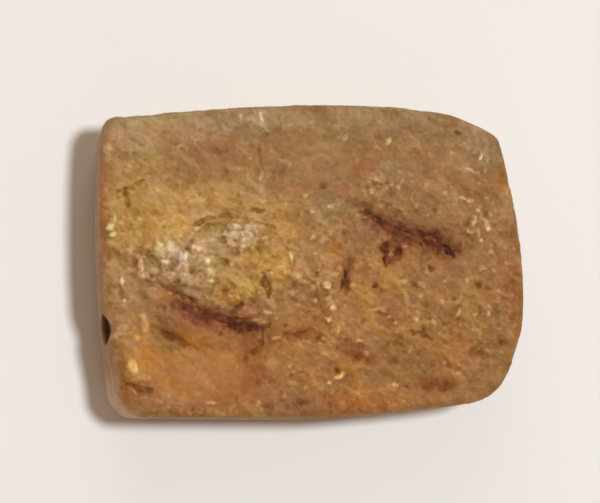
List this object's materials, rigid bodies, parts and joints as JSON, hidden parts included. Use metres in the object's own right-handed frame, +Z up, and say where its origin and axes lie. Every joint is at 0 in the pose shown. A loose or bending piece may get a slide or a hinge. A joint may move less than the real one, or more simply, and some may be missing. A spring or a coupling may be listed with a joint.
{
  "type": "clay seal",
  "caption": "Cushion-shaped clay seal with worn relief on its face and a narrow string hole along its length.",
  "frame": {"origin": "centre of the plain underside, on the surface the seal lies on", "axes": "+Z up out of the pressed face, +X along the length towards the end away from the seen string hole, +Y towards the upper long side in the picture"},
  "size_m": [0.045, 0.033, 0.0145],
  "materials": {
    "clay": "matte, sandy baked clay, ochre and brown with pale crust"
  },
  "bodies": {
    "root": {"clay_seal": "clay"}
  },
  "joints": []
}
